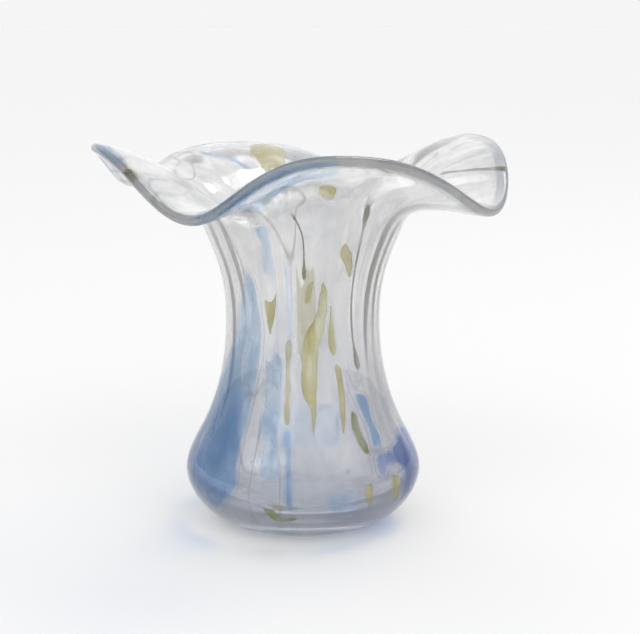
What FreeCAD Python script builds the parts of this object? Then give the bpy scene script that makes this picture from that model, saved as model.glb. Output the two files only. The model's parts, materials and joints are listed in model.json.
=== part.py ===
"""Hand blown art glass vase: a bellied body with a waist and a flared rim of four waves.

The glass is three gathers, one over the other.  The inner gather is the thick clear
bubble.  The veil is a thin milky skin, with chips and threads of coloured glass pressed
flush into it.  The casing is the clear outer gather.  Millimetres, +Z up, and the centre
of the flat foot is the origin.  Angles run anticlockwise from +X, so the front is 270.
"""
import FreeCAD, Part
import math
import os

Vector = FreeCAD.Vector
doc = FreeCAD.newDocument("BlownGlassVase")

# ---------------------------------------------------------------- driving dimensions
SIZES = [
    ("foot_radius", 33, "flat polished foot"),
    ("heel_radius", 48.5, "where the foot turns up into the belly"),
    ("heel_height", 7.5, ""),
    ("belly_radius", 57.5, "widest ring of the body"),
    ("belly_height", 25, ""),
    ("shoulder_rise", 0.31, "share of the way from belly to waist"),
    ("shoulder_pull", 0.41, "share of the narrowing reached there"),
    ("hip_rise", 0.65, "share of the way from belly to waist"),
    ("hip_pull", 0.85, "share of the narrowing reached there"),
    ("waist_radius", 37.4, "narrowest ring of the body"),
    ("waist_height", 97, ""),
    ("neck_rise", 0.58, "share of the way from waist to throat"),
    ("neck_pull", 0.26, "share of the widening reached there"),
    ("throat_radius", 46.5, "last round ring, where the rim starts to flare"),
    ("throat_height", 142, ""),
    ("heel_wall", 9, "glass thickness at the heel"),
    ("belly_wall", 5, ""),
    ("waist_wall", 3.8, ""),
    ("lip_wall", 4.5, "the fire polished lip is half round"),
    ("base_thickness", 12, "from the foot to the floor of the cavity"),
    ("floor_radius", 28, "flat floor of the cavity"),
    ("casing_wall", 1.6, "clear glass outside the colour"),
    ("base_casing", 4, "clear glass under the colour, at the foot"),
    ("veil_wall", 0.8, "thickness of the milky skin and of every chip"),
    ("crest_breadth", 0.6, "0 is a plain wave, 1 has broad crests and tight troughs"),
]

# The wavy lip, anticlockwise: angle, reach from the axis, rise above the throat.
RIM = [
    ("crest_right", 23, 96, 39),
    ("trough_back", 65, 98, 16),
    ("crest_back", 113, 98, 31),
    ("trough_left", 159, 93, 18),
    ("crest_left", 197, 101, 40),
    ("trough_front", 240, 98, 14),
    ("crest_front", 278, 98, 40.5),
    ("trough_right", 333, 98, 13),
]

# Rings between throat and lip: share of the reach, of the mean rise, of the wave.
FLARE = [
    ("flare_low", 0.10, 0.36, 0.10),
    ("flare_mid", 0.32, 0.72, 0.40),
    ("flare_high", 0.66, 0.92, 0.75),
]

sheet = doc.addObject("Spreadsheet::Sheet", "Sizes")


def fill_sheet():
    rows = list(SIZES)
    for name, angle, reach, rise in RIM:
        rows.append((name + "_angle", angle, "degrees"))
        rows.append((name + "_reach", reach, "axis to the edge of the lip"))
        rows.append((name + "_rise", rise, "above the throat"))
    for name, out, up, wave in FLARE:
        rows.append((name + "_out", out, "share of the reach"))
        rows.append((name + "_up", up, "share of the mean rise"))
        rows.append((name + "_wave", wave, "share of the wave"))
    for number, (alias, value, note) in enumerate(rows, 1):
        sheet.set("A%d" % number, alias)
        sheet.set("B%d" % number, str(value))
        sheet.setAlias("B%d" % number, alias)
        sheet.set("C%d" % number, note)


fill_sheet()
doc.recompute()


def size(alias):
    return float(sheet.get(alias))


# ---------------------------------------------------------------- the blown surface
AROUND = 48
ANGLES = [360.0 * step / AROUND for step in range(AROUND)]


def between(start, end, share):
    return start + (end - start) * share


def rim_at(angle, quality):
    """Reach or rise of the lip at an angle, eased from crest to trough and back."""
    stations = [(size(name + "_angle"), size(name + quality)) for name, *_ in RIM]
    stations.append((stations[0][0] + 360, stations[0][1]))
    turned = stations[0][0] + (angle - stations[0][0]) % 360
    for (before, start), (after, end) in zip(stations, stations[1:]):
        if turned <= after:
            ease = (1 - math.cos(math.pi * (turned - before) / (after - before))) / 2
            if quality == "_rise":
                lean = size("crest_breadth") * ease * (1 - ease)
                ease += lean if end > start else -lean
            return between(start, end, ease)


LIP = [(rim_at(angle, "_reach"), rim_at(angle, "_rise")) for angle in ANGLES]
MEAN_RISE = sum(size(name + "_rise") for name, *_ in RIM) / len(RIM)


def body_levels():
    """Radius, height and wall of each round ring, from the foot to the throat."""
    belly = (size("belly_radius"), size("belly_height"), size("belly_wall"))
    waist = (size("waist_radius"), size("waist_height"), size("waist_wall"))
    throat = (size("throat_radius"), size("throat_height"), size("waist_wall"))

    def part_way(low, high, rise, pull):
        return (
            between(low[0], high[0], size(pull)),
            between(low[1], high[1], size(rise)),
            between(low[2], high[2], size(pull)),
        )

    return [
        (size("foot_radius"), 0.0, size("base_thickness")),
        (size("heel_radius"), size("heel_height"), size("heel_wall")),
        belly,
        part_way(belly, waist, "shoulder_rise", "shoulder_pull"),
        part_way(belly, waist, "hip_rise", "hip_pull"),
        waist,
        part_way(waist, throat, "neck_rise", "neck_pull"),
        throat,
    ]


def flare_levels():
    """Share of reach, mean rise and wave, and the wall, of each ring past the throat."""
    levels = []
    for name, *_ in FLARE:
        out = size(name + "_out")
        wall = between(size("waist_wall"), size("lip_wall"), out)
        levels.append((out, size(name + "_up"), size(name + "_wave"), wall))
    levels.append((1.0, 1.0, 1.0, size("lip_wall")))
    return levels


BODY = body_levels()
FLARES = flare_levels()
WALLS = [level[-1] for level in BODY + FLARES]


def polar(radius, angle, height):
    turn = math.radians(angle)
    return Vector(radius * math.cos(turn), radius * math.sin(turn), height)


def round_ring(radius, height):
    return [polar(radius, angle, height) for angle in ANGLES]


def flare_ring(out, up, wave):
    throat = size("throat_radius")
    edge = size("lip_wall") / 2
    ring = []
    for angle, (reach, rise) in zip(ANGLES, LIP):
        radius = between(throat, reach - edge, out)
        height = size("throat_height") + MEAN_RISE * up + (rise - MEAN_RISE) * wave
        ring.append(polar(radius, angle, height))
    return ring


def ring_curve(ring):
    curve = Part.BSplineCurve()
    steps = [step / AROUND for step in range(AROUND + 1)]
    curve.interpolate(Points=ring, PeriodicFlag=True, Parameters=steps)
    return curve


def chord_levels(rings):
    """One parameter per ring: the mean distance from ring to ring, added up."""
    levels = [0.0]
    for low, high in zip(rings, rings[1:]):
        gap = sum(a.distanceToPoint(b) for a, b in zip(low, high)) / AROUND
        levels.append(levels[-1] + gap)
    return levels


def upright_curve(points, levels):
    curve = Part.BSplineCurve()
    curve.interpolate(Points=points, Parameters=levels)
    return curve


def skin(rings):
    """A smooth face through closed rings: periodic around, open at both ends."""
    levels = chord_levels(rings)
    curves = [ring_curve(ring) for ring in rings]
    columns = []
    for poles in zip(*[curve.getPoles() for curve in curves]):
        columns.append(upright_curve(list(poles), levels))
    surface = Part.BSplineSurface()
    surface.buildFromPolesMultsKnots(
        [column.getPoles() for column in columns],
        curves[0].getMultiplicities(),
        columns[0].getMultiplicities(),
        curves[0].getKnots(),
        columns[0].getKnots(),
        True,
        False,
        curves[0].Degree,
        columns[0].Degree,
    )
    return surface.toShape()


def disc(ring):
    return Part.Face(Part.Wire(ring_curve(ring).toShape()))


def strip(low, high):
    return Part.makeRuledSurface(ring_curve(low).toShape(), ring_curve(high).toShape())


def directions(rings):
    """Unit vectors at each ring point: up the wall, and into the glass."""
    levels = chord_levels(rings)
    steps = [step / AROUND for step in range(AROUND)]
    curves = [ring_curve(ring) for ring in rings]
    frames = [[] for _ in rings]
    for index, step in enumerate(steps):
        column = upright_curve([ring[index] for ring in rings], levels)
        for curve, level, frame in zip(curves, levels, frames):
            up = column.tangent(level)[0]
            inward = up.cross(curve.tangent(step)[0])
            frame.append((up.normalize(), inward.normalize()))
    return frames


OUTSIDE = [round_ring(radius, height) for radius, height, _ in BODY]
OUTSIDE += [flare_ring(out, up, wave) for out, up, wave, _ in FLARES]
FRAMES = directions(OUTSIDE)
LIP_RADIUS = size("lip_wall") / 2


def inside(depths):
    """The rings of a surface that lies each ring's depth under the outside."""
    foot = depths[0]
    taper = (size("foot_radius") - size("floor_radius")) / size("base_thickness")
    rings = [round_ring(size("foot_radius") - taper * foot, foot)]
    for ring, frame, depth in zip(OUTSIDE[1:], FRAMES[1:], depths[1:]):
        rings.append([point + inward * depth for point, (_, inward) in zip(ring, frame)])
    return rings


def lip_ring(turn):
    """A ring on the half round lip: -90 degrees is outside, +90 is inside."""
    along = LIP_RADIUS * math.cos(math.radians(turn))
    across = LIP_RADIUS * (1 + math.sin(math.radians(turn)))
    ring = []
    for point, (up, inward) in zip(OUTSIDE[-1], FRAMES[-1]):
        ring.append(point + up * along + inward * across)
    return ring


def lip_turn(depth):
    return math.degrees(math.asin((depth - LIP_RADIUS) / LIP_RADIUS))


def lip_arc(start, end):
    """The rings that round the lip from one turn to another, without the first."""
    count = 3
    return [lip_ring(between(start, end, step / count)) for step in range(1, count + 1)]


def veil_depths(extra):
    """Depth of either face of the veil: deeper at the foot, even up the wall."""
    casing = size("casing_wall") + extra
    foot = size("base_casing") + extra
    return [foot, (foot + casing) / 2] + [casing] * (len(OUTSIDE) - 2)


VEIL_TURN = lip_turn(size("casing_wall"))
CORE_TURN = lip_turn(size("casing_wall") + size("veil_wall"))

veil_outside = inside(veil_depths(0)) + [lip_ring(VEIL_TURN)]
veil_inside = inside(veil_depths(size("veil_wall"))) + [lip_ring(CORE_TURN)]
cavity = inside(WALLS)
casing_outside = OUTSIDE + lip_arc(-90, VEIL_TURN)
core_inside = cavity + lip_arc(90, CORE_TURN)


def closed_solid(faces):
    shell = Part.makeShell(faces)
    shell.sewShape()
    solid = Part.makeSolid(shell)
    if solid.Volume < 0:
        solid.reverse()
    return solid


def add_solid(name, shape):
    feature = doc.addObject("Part::Feature", name)
    feature.Label = name
    feature.Shape = shape
    feature.Placement = FreeCAD.Placement()
    return feature


veil_outer_face = skin(veil_outside)
veil_inner_face = skin(veil_inside)
veil_outer = [veil_outer_face, disc(veil_outside[0])]
veil_inner = [veil_inner_face, disc(veil_inside[0])]
veil_edge = [strip(veil_outside[-1], veil_inside[-1])]
casing = closed_solid([skin(casing_outside), disc(OUTSIDE[0])] + veil_outer)
core = closed_solid([skin(core_inside), disc(cavity[0])] + veil_inner)
veil = closed_solid(veil_outer + veil_inner + veil_edge)

# ---------------------------------------------------------------- coloured glass
# Each chip is the stretch of the veil behind a drawn outline.  Wall chips are drawn as
# they look from one side (the azimuth), as (across, height above a named level).  Lip
# chips are drawn from above, as (x, y).  Threads and canes are ribbons along a line.
FRONT = 270
LEFT = 215
RIGHT = 325
BACK = 90
BACK_LEFT = 150
BACK_RIGHT = 20


def ribbon(width, line):
    """The outline of a band along a line of points, drawn thinner at both ends."""
    right = []
    left = []
    for index, (x, y) in enumerate(line):
        before = line[max(index - 1, 0)]
        after = line[min(index + 1, len(line) - 1)]
        along = Vector(after[0] - before[0], after[1] - before[1], 0).normalize()
        half = width / 2 if 0 < index < len(line) - 1 else width / 5
        right.append((x + along.y * half, y - along.x * half))
        left.append((x - along.y * half, y + along.x * half))
    return right + left[::-1]


WALL_CHIPS = [
    ("blue_streak_neck", FRONT, "throat_height",
     [(-22.5, 5), (-23, 9.5), (-14, 9.5), (-13.3, 3), (-14, -16.5), (-18.5, -15), (-19.4, 0)]),
    ("dark_thread_centre", FRONT, "throat_height",
     ribbon(0.7, [(-5.3, 16), (-2.2, 10.5), (-0.2, 4), (0.4, -6), (0.5, -17)])),
    ("dark_thread_right", FRONT, "throat_height",
     ribbon(0.8, [(29, 20), (26.3, 4), (23, -16), (21.9, -33), (23.2, -50), (25.6, -62)])),
    ("olive_patch_neck", FRONT, "throat_height",
     [(16.3, -3), (19, 1), (22.5, -7), (21, -17), (18.3, -11)]),
    ("olive_teardrop", FRONT, "waist_height",
     [(-17.2, 18), (-17, 8), (-15.4, 0), (-12.6, 10), (-12, 23), (-14.8, 17)]),
    ("olive_sliver", FRONT, "waist_height",
     [(1, 16), (1.2, 24), (4.4, 28), (3.4, 18)]),
    ("olive_tongue_left", FRONT, "waist_height",
     [(8.6, 31), (10.5, 26), (11.6, 18), (10.8, 10), (9.4, 2), (7.6, -3.5), (6.8, -16), (7.2, -31),
      (4.8, -44.5), (2.8, -34), (0, -28), (-1.4, -16), (-0.8, -5), (0.9, 3.5), (4.6, 10), (7, 19)]),
    ("olive_tongue_right", FRONT, "waist_height",
     [(12.6, 18), (13.9, 9), (14.9, 0), (14.6, -9), (12.6, -7), (11.2, 0), (11.8, 9)]),
    ("gold_cane", FRONT, "waist_height",
     ribbon(1.6, [(-6.4, -1), (-6.9, -14), (-7.1, -28), (-7.3, -40)])),
    ("blue_veil_middle", FRONT, "waist_height",
     [(-17.2, 0), (-15.6, -11), (-13, -5), (-9.2, -9), (-9.8, -28), (-10.6, -46), (-10.6, -63),
      (-19, -64), (-20, -47), (-18.4, -25)]),
    ("blue_wedge_right", FRONT, "waist_height",
     [(18.6, -13), (24.5, -26), (29, -28.5), (33, -41), (36.8, -52), (33, -54), (29.4, -45),
      (25.5, -36), (21.6, -27)]),
    ("amber_streak_right", FRONT, "waist_height",
     [(14.9, -13), (16.6, -14), (18.4, -23), (19.4, -30), (18.8, -45), (17.2, -37), (16, -23)]),
    ("green_chip_right", FRONT, "belly_height",
     [(22.4, 37), (24.3, 35.5), (25.7, 31), (27.6, 25), (30.2, 20), (31, 17), (29, 17.4),
      (26, 21), (23.5, 26), (22, 31.5)]),
    ("blue_band_centre", FRONT, "belly_height",
     [(-9.1, 30), (-4.7, 30), (-4.5, 18), (-5, -7.6), (-8.7, -5), (-9.1, 18)]),
    ("blue_patch_base", FRONT, "belly_height",
     [(7.3, 1), (16.9, 5), (27, 4), (27.4, -5), (24, -11), (12.6, -10)]),
    ("olive_chip_base", FRONT, "belly_height",
     [(28.8, 5), (32, 4), (32.2, -2), (30.6, -7), (28.6, -2)]),
    ("green_curl_base", FRONT, "belly_height",
     [(-17.9, -4.6), (-12.5, -5.7), (-9.5, -9), (-3, -8.9), (-2.6, -10), (-9, -11.8),
      (-14.4, -10.8)]),
    ("blue_flank_left", LEFT, "belly_height",
     [(10, 104), (14.6, 80), (14.8, 63), (14, 49), (15, 26), (19, 12), (21, 3), (5, -10),
      (-8, -7), (-24, -6), (-31, 4), (-31, 17), (-26, 29), (-17, 49), (-5, 72), (6, 100)]),
    ("violet_belly_right", RIGHT, "belly_height",
     [(-12.5, 16), (2, 18), (17, 23), (30, 20), (34, 6), (28, -6), (10, -9.5), (2.6, -9),
      (1.6, 7), (-7, 8.5), (-9.5, 5), (-14.5, 7)]),
    ("olive_chip_belly", RIGHT, "belly_height",
     [(-6.5, 6), (-1, 5), (0.4, -2), (-2, -8), (-5, -4)]),
    ("blue_flank_back", BACK, "belly_height",
     [(-24, 15), (-8, 21), (10, 18), (26, 11), (24, -3), (4, -9), (-18, -6)]),
    ("blue_streak_back", BACK, "waist_height",
     [(10, 28), (16, 25), (17, -7), (12, -33), (8, -33), (9, -5)]),
    ("olive_tongue_back", BACK, "waist_height",
     [(-6, 15), (-1, 23), (2, 1), (-1, -25), (-5, -21), (-8, -2)]),
    ("olive_chip_back", BACK, "waist_height",
     [(-17, -9), (-13, -5), (-11, -17), (-14, -23)]),
    ("blue_flank_side", BACK_LEFT, "belly_height",
     [(-16, 13), (0, 23), (14, 17), (17, 3), (6, -8), (-13, -6)]),
    ("blue_streak_side", BACK_RIGHT, "waist_height",
     [(-6, 21), (0, 15), (2, -13), (4, -37), (-2, -35), (-5, -9)]),
]

LIP_CHIPS = [
    ("blue_band_lip_front",
     [(-56, -88), (-38, -97), (-14, -103), (8, -102), (15, -90), (15, -73), (-1, -71), (-12, -63),
      (-16, -57), (-22, -56), (-27, -64), (-34, -73), (-46, -79)]),
    ("olive_dot_lip_front",
     [(5.8, -62), (8.4, -66), (15.2, -63.5), (14.6, -58), (11, -56.5)]),
    ("blue_edge_lip_left",
     [(-101, -24), (-94, -43), (-85, -58), (-78, -52), (-84, -39), (-91, -22)]),
    ("dark_spot_lip_left",
     [(-80, -65), (-75.5, -67), (-72.5, -61), (-76.5, -57.5)]),
    ("blue_arc_lip_back",
     [(-55, 69), (-41, 66), (-30, 61), (-25, 54), (-30, 51.5), (-34, 55.5), (-42, 59.5),
      (-53, 62.5)]),
    ("olive_smear_lip_back",
     [(-29, 80), (-22, 90), (-11, 88), (-9, 74), (-10, 62), (-15, 56), (-21, 59), (-25, 68)]),
    ("blue_spot_lip_back",
     [(-6, 80), (-2, 77), (-3, 72), (-6.2, 74)]),
    ("smoke_streak_lip_right",
     ribbon(1.2, [(66, 1), (74, -3), (84, -6), (99, -9)])),
]


def origin_plane(body, role):
    return [plane for plane in body.Origin.OriginFeatures if plane.Role == role][0]


def smooth_outline(outline):
    """Tangent curves from point to point; the sharper a turn, the shorter its handles."""
    points = [Vector(across, along, 0) for across, along in outline]
    runs = [there - here for here, there in zip(points, points[1:] + points[:1])]
    headings = [Vector(run).normalize() for run in runs]
    leans = [(headings[index - 1] + headings[index]) / 2 for index in range(len(runs))]
    curves = []
    for index, run in enumerate(runs):
        following = (index + 1) % len(points)
        handle = run.Length / 3
        bezier = Part.BezierCurve()
        bezier.setPoles([
            points[index],
            points[index] + leans[index] * handle,
            points[following] - leans[following] * handle,
            points[following],
        ])
        curves.append(bezier.toBSpline())
    return curves


def cutter(name, plane, outline, reach, level):
    """A body that stands behind a closed smooth outline and cuts one chip."""
    body = doc.addObject("PartDesign::Body", name + "_cutter")
    sketch = body.newObject("Sketcher::SketchObject", name + "_outline")
    sketch.AttachmentSupport = [(origin_plane(body, plane), "")]
    sketch.MapMode = "FlatFace"
    sketch.addGeometry(smooth_outline(outline), False)
    pad = body.newObject("PartDesign::Pad", name + "_pad")
    pad.Profile = sketch
    pad.setExpression("Length", reach)
    body.setExpression("Placement.Base.z", level)
    return body


def wall_cutter(name, azimuth, level, outline):
    reach = "Sizes.crest_front_reach + Sizes.lip_wall"
    body = cutter(name, "XZ_Plane", outline, reach, "Sizes." + level)
    body.setExpression("Placement.Rotation.Angle", "%g deg" % (azimuth - FRONT))
    return body


def lip_cutter(name, outline):
    return cutter(name, "XY_Plane", outline, "Sizes.throat_height", "Sizes.throat_height")


# The veil is so thin beside its curved faces that its booleans need a tolerance.
SNAP = 0.001


def take_out(solid, tools):
    """Cut a group of tools that stay apart: all at once, or one by one if that fails."""
    left = solid.cut(Part.makeCompound(tools), SNAP).Solids
    if len(left) == 1:
        return left[0]
    for tool in tools:
        solid = solid.cut(tool, SNAP).Solids[0]
    return solid


groups = {}
for name, azimuth, level, outline in WALL_CHIPS:
    body = wall_cutter(name, azimuth, level, outline)
    groups.setdefault((azimuth, level), {})[name] = body
groups["lip"] = {name: lip_cutter(name, outline) for name, outline in LIP_CHIPS}
doc.recompute()

# Chips come out of what the groups before them left, so that none can share glass.
veil_left = veil
chips = []
for cutters in groups.values():
    for name, body in cutters.items():
        taken = veil_left.common(body.Shape, SNAP).Solids
        chips += [add_solid(name, solid) for solid in taken]
    veil_left = take_out(veil_left, [body.Shape for body in cutters.values()])

gathers = [
    add_solid("outer_gather", casing),
    add_solid("veil_gather", veil_left),
    add_solid("inner_gather", core),
]

# ---------------------------------------------------------------- check and write
doc.recompute()
pieces = gathers + chips
labels = [piece.Label for piece in pieces]
expected = [name for name, *_ in WALL_CHIPS + LIP_CHIPS]
if sorted(labels) != sorted(expected + ["outer_gather", "veil_gather", "inner_gather"]):
    raise RuntimeError("a chip is missing or in two pieces: %s" % labels)
for item in doc.Objects:
    if "Invalid" in item.State or "Error" in item.State:
        raise RuntimeError("%s failed to build: %s" % (item.Label, item.State))
for piece in pieces:
    if piece.Shape.isNull() or not piece.Shape.isValid():
        raise RuntimeError("%s has no valid shape" % piece.Label)
filled = sum(piece.Shape.Volume for piece in pieces)
whole = casing.Volume + veil.Volume + core.Volume
if abs(filled - whole) > 0.001 * whole:
    raise RuntimeError("the pieces fill %.0f of %.0f mm3 of glass" % (filled, whole))

os.makedirs("parts", exist_ok=True)
for piece in pieces:
    piece.Shape.exportStep("parts/%s.step" % piece.Label)
    print("%-24s %9.1f mm3" % (piece.Label, piece.Shape.Volume))
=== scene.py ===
"""Looks of the blown glass vase: clear gathers over a milky veil with coloured glass in it.

The gathers are rebuilt with fine smooth walls to the CAD sizes.  The veil and the chips
lie between them.  Metres, Z up, front towards -Y.
"""
import json
import math
import bmesh
import bpy
import numpy as np
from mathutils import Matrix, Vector
from mathutils.kdtree import KDTree


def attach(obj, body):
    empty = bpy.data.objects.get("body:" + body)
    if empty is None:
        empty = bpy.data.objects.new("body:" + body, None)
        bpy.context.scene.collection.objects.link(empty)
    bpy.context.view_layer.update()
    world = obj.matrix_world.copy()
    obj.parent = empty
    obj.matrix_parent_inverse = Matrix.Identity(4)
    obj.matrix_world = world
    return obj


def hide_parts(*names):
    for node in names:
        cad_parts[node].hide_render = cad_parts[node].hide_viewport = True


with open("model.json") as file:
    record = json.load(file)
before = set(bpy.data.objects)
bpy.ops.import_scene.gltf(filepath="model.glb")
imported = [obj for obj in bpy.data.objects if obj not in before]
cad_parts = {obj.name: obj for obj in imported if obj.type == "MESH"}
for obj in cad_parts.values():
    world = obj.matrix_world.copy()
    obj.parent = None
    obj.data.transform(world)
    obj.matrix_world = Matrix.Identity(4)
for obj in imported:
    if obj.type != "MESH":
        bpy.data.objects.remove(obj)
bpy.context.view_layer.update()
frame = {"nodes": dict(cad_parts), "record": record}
rng = np.random.default_rng(11)
MM = 0.001

# ---------------------------------------------------------------- sizes, as in the CAD
AROUND = 320
ANGLES = np.arange(AROUND) * 2 * math.pi / AROUND
BASE, HEEL, BELLY_WALL, WAIST_WALL, LIP_WALL = 12, 9, 5, 3.8, 4.5
CASING, BASE_CASING, VEIL = 1.6, 4, 0.8
FOOT, FLOOR = 33, 28
THROAT, THROAT_HEIGHT = 46.5, 142
BREADTH = 0.6
RIM = [(23, 96, 39), (65, 98, 16), (113, 98, 31), (159, 93, 18),
       (197, 101, 40), (240, 98, 14), (278, 98, 40.5), (333, 98, 13)]
FLARE = [(0.10, 0.36, 0.10), (0.32, 0.72, 0.40), (0.66, 0.92, 0.75), (1, 1, 1)]
GAP = 0.03  # keeps fused faces of neighbouring pieces apart

# ---------------------------------------------------------------- sizes of the fine meshes
AIR_STEP, FUSED_STEP = 1.7, 6  # between rows of an air face and of a fused face
OUTER_WAVES, INNER_WAVES = 0.22, 0.45  # depth of the hand-made waves
LIP_ROWS = 22  # rows of an air face that get the lip's painted shade, a darker grey-blue tint
CALM_ROWS = (26, 14)  # the waves die out between these rows from the lip
OWN_FACE, FUSED_FACE, LIP_FACE = 0, 1, 2  # material slots: own look, fused glass, lip with painted shade
ON_SKIN = 0.97  # how squarely a face of a sheet lies on the casing
COARSE, FINE = 1.2, 0.35  # longest edges of chips and of threads
NARROW = 3.5  # half the width under which a chip's colour is kept up
SOFT_CHIPS = ("blue_flank_back", "blue_flank_side", "blue_streak_back", "blue_streak_side",
              "blue_patch_base")
BUBBLES = 46


def between(start, end, share):
    """A share of the way from start to end."""
    return start + (end - start) * share


def rim(angle, quality):
    """Reach (1) or rise (2) of the rim at an angle, eased from stop to stop."""
    stops = RIM + [(RIM[0][0] + 360,) + RIM[0][1:]]
    turned = RIM[0][0] + (angle - RIM[0][0]) % 360
    for low, high in zip(stops, stops[1:]):
        if turned <= high[0]:
            ease = (1 - math.cos(math.pi * (turned - low[0]) / (high[0] - low[0]))) / 2
            if quality == 2:
                lean = BREADTH * ease * (1 - ease)
                ease += lean if high[2] > low[2] else -lean
            return between(low[quality], high[quality], ease)


REACH = np.array([rim(math.degrees(a), 1) for a in ANGLES])
RISE = np.array([rim(math.degrees(a), 2) for a in ANGLES])
MEAN_RISE = sum(stop[2] for stop in RIM) / len(RIM)


def ring(radius, height):
    """Points around the axis; the radius and the height may change around."""
    radius = radius + np.zeros(AROUND)
    height = height + np.zeros(AROUND)
    return np.stack([radius * np.cos(ANGLES), radius * np.sin(ANGLES), height], 1)


def spline(levels, values, at):
    """Smooth curve through the rings, at new levels; also the slopes at the rings."""
    gaps = np.diff(levels)
    rates = np.diff(values, axis=0) / gaps[:, None, None]

    def end_slope(t, y):
        # slope of the cubic through the first four rings
        powers = np.vander(t - t[0], 4, increasing=True)
        return np.linalg.solve(powers, y.reshape(4, -1))[1].reshape(y.shape[1:])

    count = len(levels)
    system = np.eye(count)
    right = np.zeros_like(values)
    right[0] = end_slope(levels[:4], values[:4])
    right[-1] = end_slope(levels[::-1][:4], values[::-1][:4])
    for i in range(1, count - 1):
        system[i, i - 1:i + 2] = gaps[i], 2 * (gaps[i - 1] + gaps[i]), gaps[i - 1]
        right[i] = 3 * (gaps[i] * rates[i - 1] + gaps[i - 1] * rates[i])
    slopes = np.linalg.solve(system, right.reshape(count, -1)).reshape(values.shape)
    cell = np.clip(np.searchsorted(levels, at, side="right") - 1, 0, count - 2)
    h = gaps[cell][:, None, None]
    s = ((at - levels[cell]) / gaps[cell])[:, None, None]
    made = (
        (1 + 2 * s) * (1 - s) ** 2 * values[cell]
        + s * (1 - s) ** 2 * h * slopes[cell]
        + s ** 2 * (3 - 2 * s) * values[cell + 1]
        + s ** 2 * (s - 1) * h * slopes[cell + 1]
    )
    return made, slopes


def chord_levels(rings):
    """How far up the wall each ring lies, on average."""
    steps = np.linalg.norm(np.diff(rings, axis=0), axis=2).mean(1)
    return np.concatenate([[0], np.cumsum(steps)])


def unit(vectors):
    return vectors / np.linalg.norm(vectors, axis=-1, keepdims=True)


def frames(rings):
    """Unit vectors at each ring point: up the wall, and into the glass."""
    levels = chord_levels(rings)
    up = unit(spline(levels, rings, levels)[1])
    around = unit(np.roll(rings, -1, 1) - np.roll(rings, 1, 1))
    return up, unit(np.cross(up, around))


def part_way(low, high, rise, pull):
    """A ring between two others; each is a radius, a height and a wall."""
    return (between(low[0], high[0], pull), between(low[1], high[1], rise),
            between(low[2], high[2], pull))


belly = (57.5, 25, BELLY_WALL)
waist = (37.4, 97, WAIST_WALL)
throat = (THROAT, THROAT_HEIGHT, WAIST_WALL)
BODY = [(FOOT, 0, BASE), (48.5, 7.5, HEEL), belly, part_way(belly, waist, 0.31, 0.41),
        part_way(belly, waist, 0.65, 0.85), waist, part_way(waist, throat, 0.58, 0.26), throat]
WALLS = [level[2] for level in BODY]
WALLS += [between(WAIST_WALL, LIP_WALL, out) for out, *_ in FLARE]
OUTSIDE = [ring(radius, height) for radius, height, _ in BODY]
for out, up, wave in FLARE:
    OUTSIDE.append(ring(between(THROAT, REACH - LIP_WALL / 2, out),
                        THROAT_HEIGHT + MEAN_RISE * up + (RISE - MEAN_RISE) * wave))
OUTSIDE = np.array(OUTSIDE)
UP, INWARD = frames(OUTSIDE)


def inside(depths):
    """Rings of a surface that lies each ring's depth under the outside."""
    made = OUTSIDE + INWARD * np.array(depths)[:, None, None]
    made[0] = ring(FOOT - (FOOT - FLOOR) / BASE * depths[0], depths[0])
    return made


def lip_rings(start, end, count):
    """Rings round the half circle of the lip, from -90 outside to 90 inside."""
    radius = LIP_WALL / 2
    made = []
    for turn in np.radians(np.linspace(start, end, count + 1)[1:]):
        made.append(OUTSIDE[-1] + UP[-1] * radius * math.cos(turn)
                    + INWARD[-1] * radius * (1 + math.sin(turn)))
    return np.array(made)


def lip_turn(depth):
    """Where on the half circle the lip is this deep under the outside."""
    return math.degrees(math.asin(depth / (LIP_WALL / 2) - 1))


def veil_depths(extra):
    """Depth of the outside of the veil at each ring, and something extra."""
    casing, foot = CASING + extra, BASE_CASING + extra
    return [foot, (foot + casing) / 2] + [casing] * (len(OUTSIDE) - 2)


def grid(rings, step):
    """The rings filled out to rows no further apart than step."""
    levels = chord_levels(rings)
    rows = [levels[:1]]
    for low, high in zip(levels, levels[1:]):
        rows.append(np.linspace(low, high, max(3, math.ceil((high - low) / step)) + 1)[1:])
    return spline(levels, rings, np.concatenate(rows))[0]


def wander(rows, height, drift, seed):
    """Slow uneven waves around and up the wall, between about -1 and 1."""
    chance = np.random.default_rng(seed)
    total = np.zeros(rows.shape[:2])
    for number in (3, 5, 7, 8, 11, 13, 19, 26):
        phase = chance.uniform(0, 6.28)
        turn = chance.uniform(-1, 1) * drift
        beat = chance.uniform(0.5, 1.5) / height
        angle = np.arctan2(rows[..., 1], rows[..., 0])
        total += np.cos(number * angle + phase + turn * rows[..., 2] / height) * (
            0.6 + 0.4 * np.cos(6.28 * beat * rows[..., 2] + phase * 2))
    return total / 3


def grid_normals(rows):
    """Unit normals of a grid of rows, on the side that the inward vectors point to."""
    along = np.gradient(rows, axis=0)
    around = np.roll(rows, -1, 1) - np.roll(rows, 1, 1)
    return unit(np.cross(along, around))


def fade(value, low, high):
    """Smooth step from 0 at low to 1 at high."""
    share = np.clip((value - low) / (high - low), 0, 1)
    return share * share * (3 - 2 * share)


def put(name, data):
    """A new object in the scene."""
    made = bpy.data.objects.new(name, data)
    bpy.context.scene.collection.objects.link(made)
    return made


# ---------------------------------------------------------------- materials
def new_material(name):
    """An empty node material."""
    material = bpy.data.materials.new(name)
    material.use_nodes = True
    material.node_tree.nodes.clear()
    return material


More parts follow.
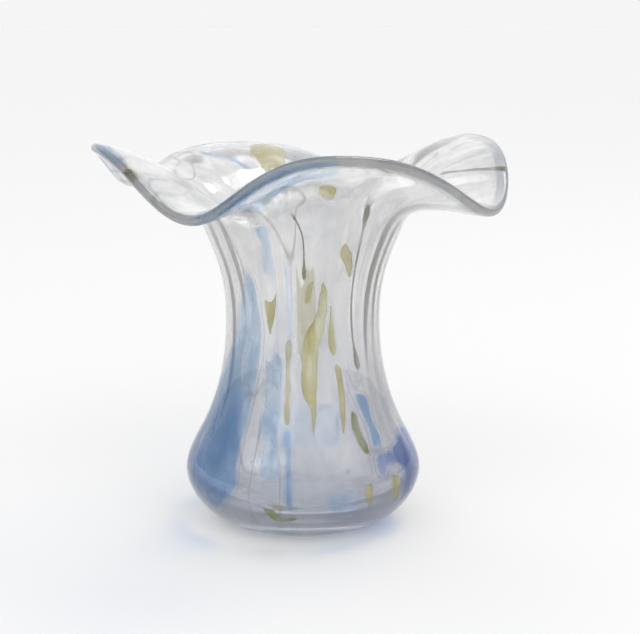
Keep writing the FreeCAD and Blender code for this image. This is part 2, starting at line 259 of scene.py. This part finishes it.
class Tree:
    """Short calls for building a node tree."""

    def __init__(self, owner):
        self.tree = owner.node_tree

    def add(self, kind, settings=(), **inputs):
        node = self.tree.nodes.new("ShaderNode" + kind)
        for key, value in dict(settings).items():
            setattr(node, key, value)
        for key, value in inputs.items():
            socket = node.inputs[int(key[1:]) if key[0] == "_" else key.replace("__", " ")]
            if isinstance(value, bpy.types.NodeSocket):
                self.tree.links.new(value, socket)
            else:
                socket.default_value = value
        return node.outputs[0]

    def mix(self, factor, first, second):
        return self.add("MixShader", _0=factor, _1=first, _2=second)

    def colour(self, factor, first, second):
        return self.add("MixRGB", _0=factor, _1=first, _2=second)

    def math(self, operation, first, second=0.0):
        return self.add("Math", {"operation": operation}, _0=first, _1=second)

    def remap(self, value, low, high, to_low=0.0, to_high=1.0):
        return self.add("MapRange", _0=value, _1=low, _2=high, _3=to_low, _4=to_high)

    def place(self):
        return self.tree.nodes.new("ShaderNodeTexCoord").outputs["Object"]

    def height(self):
        split = self.tree.nodes.new("ShaderNodeSeparateXYZ")
        self.tree.links.new(self.place(), split.inputs[0])
        return split.outputs["Z"]

    def noise(self, scale, stretch=(1, 1, 1), detail=3.0, rough=0.5, warp=0.0):
        place = self.add("Mapping", _0=self.place(), _3=stretch)
        return self.add("TexNoise", Vector=place, Scale=scale, Detail=detail, Roughness=rough,
                        Distortion=warp)

    def output(self, surface):
        node = self.tree.nodes.new("ShaderNodeOutputMaterial")
        self.tree.links.new(surface, node.inputs["Surface"])

    def for_lamps(self, surface, tint):
        """Lets lamps shine through with a tint, so that glass casts a soft shadow."""
        path = self.tree.nodes.new("ShaderNodeLightPath")
        clear = self.add("BsdfTransparent", Color=tint)
        return self.mix(path.outputs["Is Shadow Ray"], surface, clear)


HAZE = (0.86, 0.88, 0.92, 1)


def glass(name, tint, roughness, satin):
    """An air face of clear glass; satin is the share of pale haze on it."""
    material = new_material(name)
    tree = Tree(material)
    shine = tree.add("BsdfPrincipled", Base__Color=tint, Roughness=roughness, IOR=1.5,
                     Transmission__Weight=1.0)
    if satin:
        flare = tree.remap(tree.height(), 0.135, 0.165, 0.5, 1.6)
        patchy = tree.remap(tree.noise(70, detail=6, rough=0.7), 0.35, 0.7, 0.3 * satin, satin)
        patchy = tree.math("MULTIPLY", patchy, flare)
        haze = tree.mix(0.5, tree.add("BsdfDiffuse", Color=HAZE),
                        tree.add("BsdfTranslucent", Color=HAZE))
        shine = tree.mix(patchy, shine, haze)
    tree.output(tree.for_lamps(shine, (0.985, 0.99, 0.995, 1)))
    return material


def fused_glass():
    """Glass on glass: the face between two fused pieces doesn't bend the light."""
    material = new_material("fused_face")
    tree = Tree(material)
    tree.output(tree.add("BsdfTransparent", Color=(1, 1, 1, 1)))
    return material


def sheer(tree, clear, solid, share):
    """Tints what lies behind and scatters a share of the light in its own colour."""
    passing = tree.add("BsdfTransparent", Color=clear)
    body = tree.mix(0.5, tree.add("BsdfDiffuse", Color=solid),
                    tree.add("BsdfTranslucent", Color=solid))
    return tree.mix(share, passing, body)


def milk(tree):
    """The veil: a thin skin, warm and clear at the neck, greyer and bluer at the belly."""
    low = tree.remap(tree.height(), 0.035, 0.120, 1.0, 0.0)
    wisps = tree.remap(tree.noise(38, (1, 1, 0.22), detail=5, rough=0.6, warp=0.5), 0.36, 0.68)
    hue = tree.colour(low, (1.0, 0.985, 0.95, 1), (0.90, 0.89, 0.91, 1))
    hue = tree.colour(tree.remap(wisps, 0, 1, 0.0, 0.8), hue, (0.80, 0.82, 0.88, 1))
    passing = tree.colour(low, (1.0, 0.995, 0.985, 1), (0.94, 0.94, 0.95, 1))
    share = tree.add("Math", {"operation": "MULTIPLY_ADD"}, _0=wisps, _1=0.20, _2=0.05)
    body = sheer(tree, passing, hue, share)
    # long fine dark threads, stretched up the wall
    folds = tree.noise(17, (1, 1, 0.13), detail=2, rough=0.5, warp=0.3)
    thread = tree.remap(tree.math("ABSOLUTE", tree.math("SUBTRACT", folds, 0.47)),
                        0.0, 0.006, 0.40, 0.0)
    return tree.mix(thread, body, sheer(tree, (0.7, 0.7, 0.66, 1), (0.40, 0.39, 0.33, 1), 0.6))


def veil_glass():
    material = new_material("veil_glass")
    tree = Tree(material)
    tree.output(tree.for_lamps(milk(tree), (0.985, 0.988, 0.995, 1)))
    return material


def chip_glass(name, clear, solid, deep, least, most, ragged, soft, scale, lamp_tint, line=None,
               pooled=None):
    """Coloured glass that melts into the veil over its soft edge, streaked and mottled.

    line is the colour of a fine outline, and pooled the tint where the glass is thick, low
    on the belly.
    """
    material = new_material(name)
    tree = Tree(material)
    edge = tree.tree.nodes.new("ShaderNodeAttribute")
    edge.attribute_name = "edge"
    nibble = tree.noise(scale * 1.6, (1, 1, 0.35), detail=5, rough=0.65, warp=0.6)
    inset = tree.math("SUBTRACT", edge.outputs["Fac"], tree.remap(nibble, 0.35, 0.7, 0, ragged))
    inside = tree.remap(inset, 0.0, soft)
    streaks = tree.noise(scale, (1, 1, 0.28), detail=5, rough=0.62, warp=0.8)
    streaks = tree.remap(streaks, 0.34, 0.68)
    hue = tree.colour(streaks, (*solid, 1), (*deep, 1))
    passing = tree.colour(tree.remap(streaks, 0, 1, 0.35, 1.0), (1, 1, 1, 1), (*clear, 1))
    if pooled:
        low = tree.remap(tree.height(), 0.030, 0.080, 1.0, 0.0)
        passing = tree.colour(low, passing, (*pooled, 1))
    body = sheer(tree, passing, hue, tree.remap(streaks, 0, 1, least, most))
    if line:
        rim_line = tree.remap(tree.math("ABSOLUTE", tree.math("SUBTRACT", inset, 0.25)),
                              0.0, 0.35, 0.65, 0.0)
        body = tree.mix(rim_line, body, sheer(tree, (*line, 1), (*line, 1), 0.5))
    tree.output(tree.for_lamps(tree.mix(inside, milk(tree), body), (*lamp_tint, 1)))
    return material


# name: clear tint, pale and deep colour, least and most body, ragged and soft edge in mm,
# scale, lamp tint, colour of a fine outline, tint where it pools
SHEER = {"veil_glass": veil_glass()}
for name, *look in (
    ("blue_glass", (0.80, 0.90, 0.98), (0.84, 0.91, 0.97), (0.32, 0.54, 0.85), 0.12, 0.44,
     1.5, 1.9, 48, (0.76, 0.85, 0.97), None, (0.62, 0.76, 0.93)),
    ("blue_glass_far", (0.84, 0.91, 0.98), (0.78, 0.86, 0.94), (0.46, 0.62, 0.84), 0.08, 0.34,
     3.0, 4.0, 60, (0.86, 0.92, 0.99)),
    ("pale_blue_glass", (0.82, 0.91, 0.98), (0.80, 0.88, 0.96), (0.52, 0.69, 0.90), 0.14, 0.42,
     1.2, 1.0, 60, (0.86, 0.92, 1.0)),
    ("violet_glass", (0.62, 0.70, 0.92), (0.60, 0.67, 0.86), (0.22, 0.31, 0.60), 0.14, 0.50,
     2.0, 2.4, 50, (0.72, 0.80, 0.99)),
    ("olive_glass", (1.0, 0.98, 0.80), (1.0, 0.97, 0.68), (0.90, 0.82, 0.36), 0.30, 0.68,
     1.3, 0.4, 150, (0.95, 0.93, 0.80), (0.50, 0.45, 0.20)),
    ("amber_glass", (1.0, 0.97, 0.80), (1.0, 0.96, 0.72), (0.92, 0.80, 0.38), 0.28, 0.70,
     0.3, 0.2, 200, (0.95, 0.92, 0.80), (0.50, 0.43, 0.16)),
    ("green_glass", (0.80, 0.85, 0.70), (0.74, 0.78, 0.46), (0.36, 0.44, 0.22), 0.30, 0.78,
     1.2, 0.5, 180, (0.92, 0.94, 0.86), (0.24, 0.27, 0.17)),
    ("smoke_glass", (0.66, 0.66, 0.60), (0.50, 0.48, 0.38), (0.32, 0.30, 0.22), 0.25, 0.60,
     0.1, 0.15, 200, (0.9, 0.9, 0.9)),
):
    SHEER[name] = chip_glass(name, *look)
# The lip's glass is tinted dark grey-blue: painted shade standing in for the dark band that
# refraction along the wall gives the rim
LIP = glass("lip_glass_painted_shade", (0.64, 0.67, 0.71, 1), 0.05, 0.0)
OUTER_AIR = glass("clear_glass", (0.985, 0.99, 1, 1), 0.02, 0.0)
INNER_AIR = glass("clear_glass_satin", (0.985, 0.99, 1, 1), 0.10, 0.18)
FUSED = fused_glass()


# ---------------------------------------------------------------- the clear gathers
def closed_mesh(name, air, fused, foot_up):
    """A solid wall between an air face and a fused face, closed by a disc at each foot."""
    rows = np.concatenate([air, fused[::-1]])
    count = len(rows)
    points = [tuple(p) for p in (rows.reshape(-1, 3) * MM)]
    faces, kinds = [], []

    def at(row, step):
        return row * AROUND + step % AROUND

    for row in range(count - 1):
        for step in range(AROUND):
            faces.append((at(row, step), at(row, step + 1),
                          at(row + 1, step + 1), at(row + 1, step)))
            if row >= len(air) - 1:
                kinds.append(FUSED_FACE)
            else:
                kinds.append(LIP_FACE if row > len(air) - LIP_ROWS else OWN_FACE)
    for row, kind in ((0, OWN_FACE), (count - 1, FUSED_FACE)):
        edge = rows[row]
        previous = [at(row, step) for step in range(AROUND)]
        for share in (0.75, 0.5, 0.25):
            start = len(points)
            centre = edge.mean(0)
            points += [tuple(p) for p in (centre + (edge - centre) * share) * MM]
            fresh = [start + step for step in range(AROUND)]
            for step in range(AROUND):
                near, far = step, (step + 1) % AROUND
                face = (previous[near], fresh[near], fresh[far], previous[far])
                faces.append(face if row == 0 else face[::-1])
                kinds.append(kind)
            previous = fresh
        points.append(tuple(edge.mean(0) * MM))
        for step in range(AROUND):
            face = (previous[step], len(points) - 1, previous[(step + 1) % AROUND])
            faces.append(face if row == 0 else face[::-1])
            kinds.append(kind)
    if not foot_up:
        faces = [face[::-1] for face in faces]
    mesh = bpy.data.meshes.new(name)
    mesh.from_pydata(points, [], faces)
    mesh.polygons.foreach_set("material_index", kinds)
    mesh.polygons.foreach_set("use_smooth", [True] * len(faces))
    mesh.set_sharp_from_angle(angle=math.radians(40))
    mesh.update()
    return put(name, mesh)


def roughen(rows, depth, seed):
    """Presses slow hand-made waves into an air face, stronger up the neck."""
    height = rows[..., 2]
    strength = depth * fade(height, 5, 40) * (0.6 + 0.8 * fade(height, 80, 150))
    moved = rows + grid_normals(rows) * (wander(rows, 190, 2.0, seed) * strength)[..., None]
    first, last = (len(rows) - back for back in CALM_ROWS)
    calm = fade(np.arange(len(rows)), first, last)[:, None, None]
    return moved * (1 - calm) + rows * calm


MID_TURN = lip_turn(CASING + VEIL / 2)
outer_air = grid(np.concatenate([OUTSIDE, lip_rings(-90, MID_TURN, 6)]), AIR_STEP)
outer_fused = grid(np.concatenate([inside(veil_depths(-GAP)),
                                   lip_rings(-90, lip_turn(CASING - GAP), 1)]), FUSED_STEP)
inner_air = grid(np.concatenate([inside(WALLS), lip_rings(90, MID_TURN, 6)]), AIR_STEP)
inner_fused = grid(np.concatenate([inside(veil_depths(VEIL + GAP)),
                                   lip_rings(90, lip_turn(CASING + VEIL + GAP), 1)]),
                   FUSED_STEP)
outer = closed_mesh("outer_gather_glass", roughen(outer_air, OUTER_WAVES, 3), outer_fused, True)
inner = closed_mesh("inner_gather_glass", roughen(inner_air, INNER_WAVES, 5), inner_fused, False)
for piece, node, air in ((outer, "outer_gather", OUTER_AIR), (inner, "inner_gather", INNER_AIR)):
    piece.data.materials.append(air)
    piece.data.materials.append(FUSED)
    piece.data.materials.append(LIP)
    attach(piece, "root")
    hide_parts(node)

# ---------------------------------------------------------------- veil and chips
skin_rows = grid(np.concatenate([inside(veil_depths(0)),
                                 lip_rings(-90, lip_turn(CASING), 1)]), AIR_STEP)
skin_points = skin_rows.reshape(-1, 3)[::2] * MM
skin_inward = grid_normals(skin_rows).reshape(-1, 3)[::2]
near_skin = KDTree(len(skin_points))
for index, point in enumerate(skin_points):
    near_skin.insert(point, index)
near_skin.balance()


def sheet_piece(name, longest):
    """A piece of the veil layer; every vertex of a chip knows how far in it lies.

    A chip narrower than twice NARROW counts as that wide, so that its middle keeps its
    colour. The veil has no longest edge and stays as it is.
    """
    mesh = frame["nodes"][name].data.copy()
    mesh.name = name + "_glass"
    work = bmesh.new()
    work.from_mesh(mesh)
    bmesh.ops.remove_doubles(work, verts=work.verts, dist=1e-6)
    depth = work.verts.layers.float.new("edge")
    for _ in range(9 if longest else 0):
        long_edges = [edge for edge in work.edges if edge.calc_length() > longest * MM]
        if not long_edges:
            break
        bmesh.ops.subdivide_edges(work, edges=long_edges, cuts=1, use_single_edge=True)
        bmesh.ops.triangulate(work, faces=[face for face in work.faces if len(face.verts) > 3])
    work.normal_update()
    border = set()
    for face in work.faces:
        index = near_skin.find(face.calc_center_median())[1]
        facing = face.normal.dot(Vector(skin_inward[index]))
        face.material_index = OWN_FACE if facing < -ON_SKIN else FUSED_FACE
        face.smooth = True
        if abs(facing) <= ON_SKIN:
            border.update(face.verts)
    if longest:
        walls = KDTree(len(border))
        for index, vertex in enumerate(border):
            walls.insert(vertex.co, index)
        walls.balance()
        far_in = {vertex: walls.find(vertex.co)[2] / MM for vertex in work.verts}
        spread = max(1, NARROW / max(far_in.values()))
        for vertex, inset in far_in.items():
            vertex[depth] = inset * spread
    work.to_mesh(mesh)
    work.free()
    return put(mesh.name, mesh)


slots = {part["node"]: part["material_slot"] for part in frame["record"]["subparts"]}
for name in frame["nodes"]:
    if name in ("outer_gather", "inner_gather"):
        continue
    longest = FINE if slots[name] in ("smoke_glass", "amber_glass") else COARSE
    piece = sheet_piece(name, None if name == "veil_gather" else longest)
    piece.data.materials.clear()
    look = "blue_glass_far" if name in SOFT_CHIPS else slots[name]
    piece.data.materials.append(SHEER[look])
    piece.data.materials.append(FUSED)
    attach(piece, "root")
    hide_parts(name)


# ---------------------------------------------------------------- seeds and small bubbles
def bubbles():
    """Small flattened voids in the clear glass; their faces look into the void."""
    faces_per, levels = 12, 8
    points, faces = [], []
    body_rows = [row for row in range(len(inner_air)) if 14 < inner_air[row, 0, 2] < 150]
    for _ in range(BUBBLES):
        row = body_rows[int(rng.integers(len(body_rows)) * rng.uniform(0.05, 1))]
        step = int(rng.integers(AROUND))
        radius = rng.uniform(0.25, 0.75) * (0.6 if inner_air[row, 0, 2] > 70 else 1)
        long = radius * rng.uniform(1.0, 2.2)
        depth = min(radius, 0.7)
        outward = -grid_normals(inner_air[row - 1:row + 2])[1, step]
        centre = inner_air[row, step] + outward * (depth + 0.5)
        up = unit(inner_air[row + 1, step] - inner_air[row - 1, step])
        side = np.cross(up, outward)
        start = len(points)
        for level in range(1, levels):
            tilt = math.pi * level / levels
            for turn in range(faces_per):
                angle = 2 * math.pi * turn / faces_per
                points.append(tuple((
                    centre + up * long * math.cos(tilt)
                    + side * radius * math.sin(tilt) * math.cos(angle)
                    + outward * depth * math.sin(tilt) * math.sin(angle)) * MM))
        ends = len(points)
        points.append(tuple((centre + up * long) * MM))
        points.append(tuple((centre - up * long) * MM))
        for turn in range(faces_per):
            near, far = turn, (turn + 1) % faces_per
            for level in range(levels - 2):
                low, high = start + level * faces_per, start + (level + 1) * faces_per
                faces.append((low + near, low + far, high + far, high + near))
            faces.append((ends, start + far, start + near))
            last = start + (levels - 2) * faces_per
            faces.append((ends + 1, last + near, last + far))
    mesh = bpy.data.meshes.new("bubbles")
    mesh.from_pydata(points, [], faces)
    mesh.polygons.foreach_set("use_smooth", [True] * len(faces))
    mesh.materials.append(OUTER_AIR)
    made = put("bubbles", mesh)
    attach(made, "root")


bubbles()

# ---------------------------------------------------------------- floor, light, camera
FLOOR_SIZE, FLOOR_DROP = 40, 0.0002
bpy.ops.mesh.primitive_plane_add(size=FLOOR_SIZE, location=(0, 0, -FLOOR_DROP))
floor = bpy.context.object
floor.name = "floor"
paper = new_material("paper")
tree = Tree(paper)
tree.output(tree.add("BsdfDiffuse", Color=(0.93, 0.93, 0.932, 1)))
floor.data.materials.append(paper)

# A bright studio whose side walls and ceiling are dark, so that the glass gets dark edges;
# behind the vase the camera sees the plain pale colour of the far floor.
world = bpy.data.worlds.new("studio")
bpy.context.scene.world = world
world.use_nodes = True
world.node_tree.nodes.clear()
tree = Tree(world)
place = tree.tree.nodes.new("ShaderNodeTexCoord").outputs["Generated"]
split = tree.tree.nodes.new("ShaderNodeSeparateXYZ")
tree.tree.links.new(place, split.inputs[0])
side = tree.math("ABSOLUTE", split.outputs["X"])
walls = tree.remap(side, 0.58, 0.90, 1.0, 0.02)
ceiling = tree.remap(split.outputs["Z"], 0.70, 0.90, 1.0, 0.12)
dim = tree.math("MULTIPLY", walls, ceiling)
sky = tree.colour(dim, (0, 0, 0, 1), (1.22, 1.22, 1.23, 1))
studio = tree.add("Background", Color=sky)
seen = tree.add("Background", Color=(0.915, 0.915, 0.917, 1))
path = tree.tree.nodes.new("ShaderNodeLightPath")
out = tree.tree.nodes.new("ShaderNodeOutputWorld")
tree.tree.links.new(tree.mix(path.outputs["Is Camera Ray"], studio, seen), out.inputs[0])


def look_at(thing, place, target):
    thing.location = place
    thing.rotation_euler = (Vector(target) - Vector(place)).to_track_quat("-Z", "Y").to_euler()


def lamp(name, place, target, size, energy):
    """A square soft box."""
    data = bpy.data.lights.new(name, "AREA")
    data.shape = "SQUARE"
    data.size = size
    data.energy = energy
    made = put(name, data)
    look_at(made, place, target)
    return made


sun = bpy.data.lights.new("overhead", "SUN")
sun.energy = 1.15
sun.angle = math.radians(24)
put("overhead", sun).rotation_euler = (math.radians(-14), math.radians(20), 0)
lamp("softbox_right", (1.3, 0.3, 1.0), (0, 0, 0.1), 1.2, 1.5)
# a soft fill for the floor and the milky glass, with no highlight of its own
fill = lamp("fill_front", (0.35, -1.25, 0.75), (0, -0.1, 0.05), 1.0, 4.2)
fill.visible_glossy = False
fill.visible_transmission = False

camera = bpy.data.cameras.new("camera")
camera.sensor_width = 36
camera.lens = 86.6
camera.shift_x = 0.0266
camera.shift_y = 0.028
view = put("camera", camera)
distance, tilt, aim = 0.75, math.radians(12), Vector((0, 0, 0.091))
look_at(view, aim + Vector((0, -distance * math.cos(tilt), distance * math.sin(tilt))), aim)
bpy.context.scene.camera = view

scene = bpy.context.scene
scene.view_settings.view_transform = "Standard"
scene.cycles.max_bounces = 24
scene.cycles.transmission_bounces = 24
scene.cycles.transparent_max_bounces = 48
scene.cycles.caustics_refractive = False
scene.cycles.caustics_reflective = False
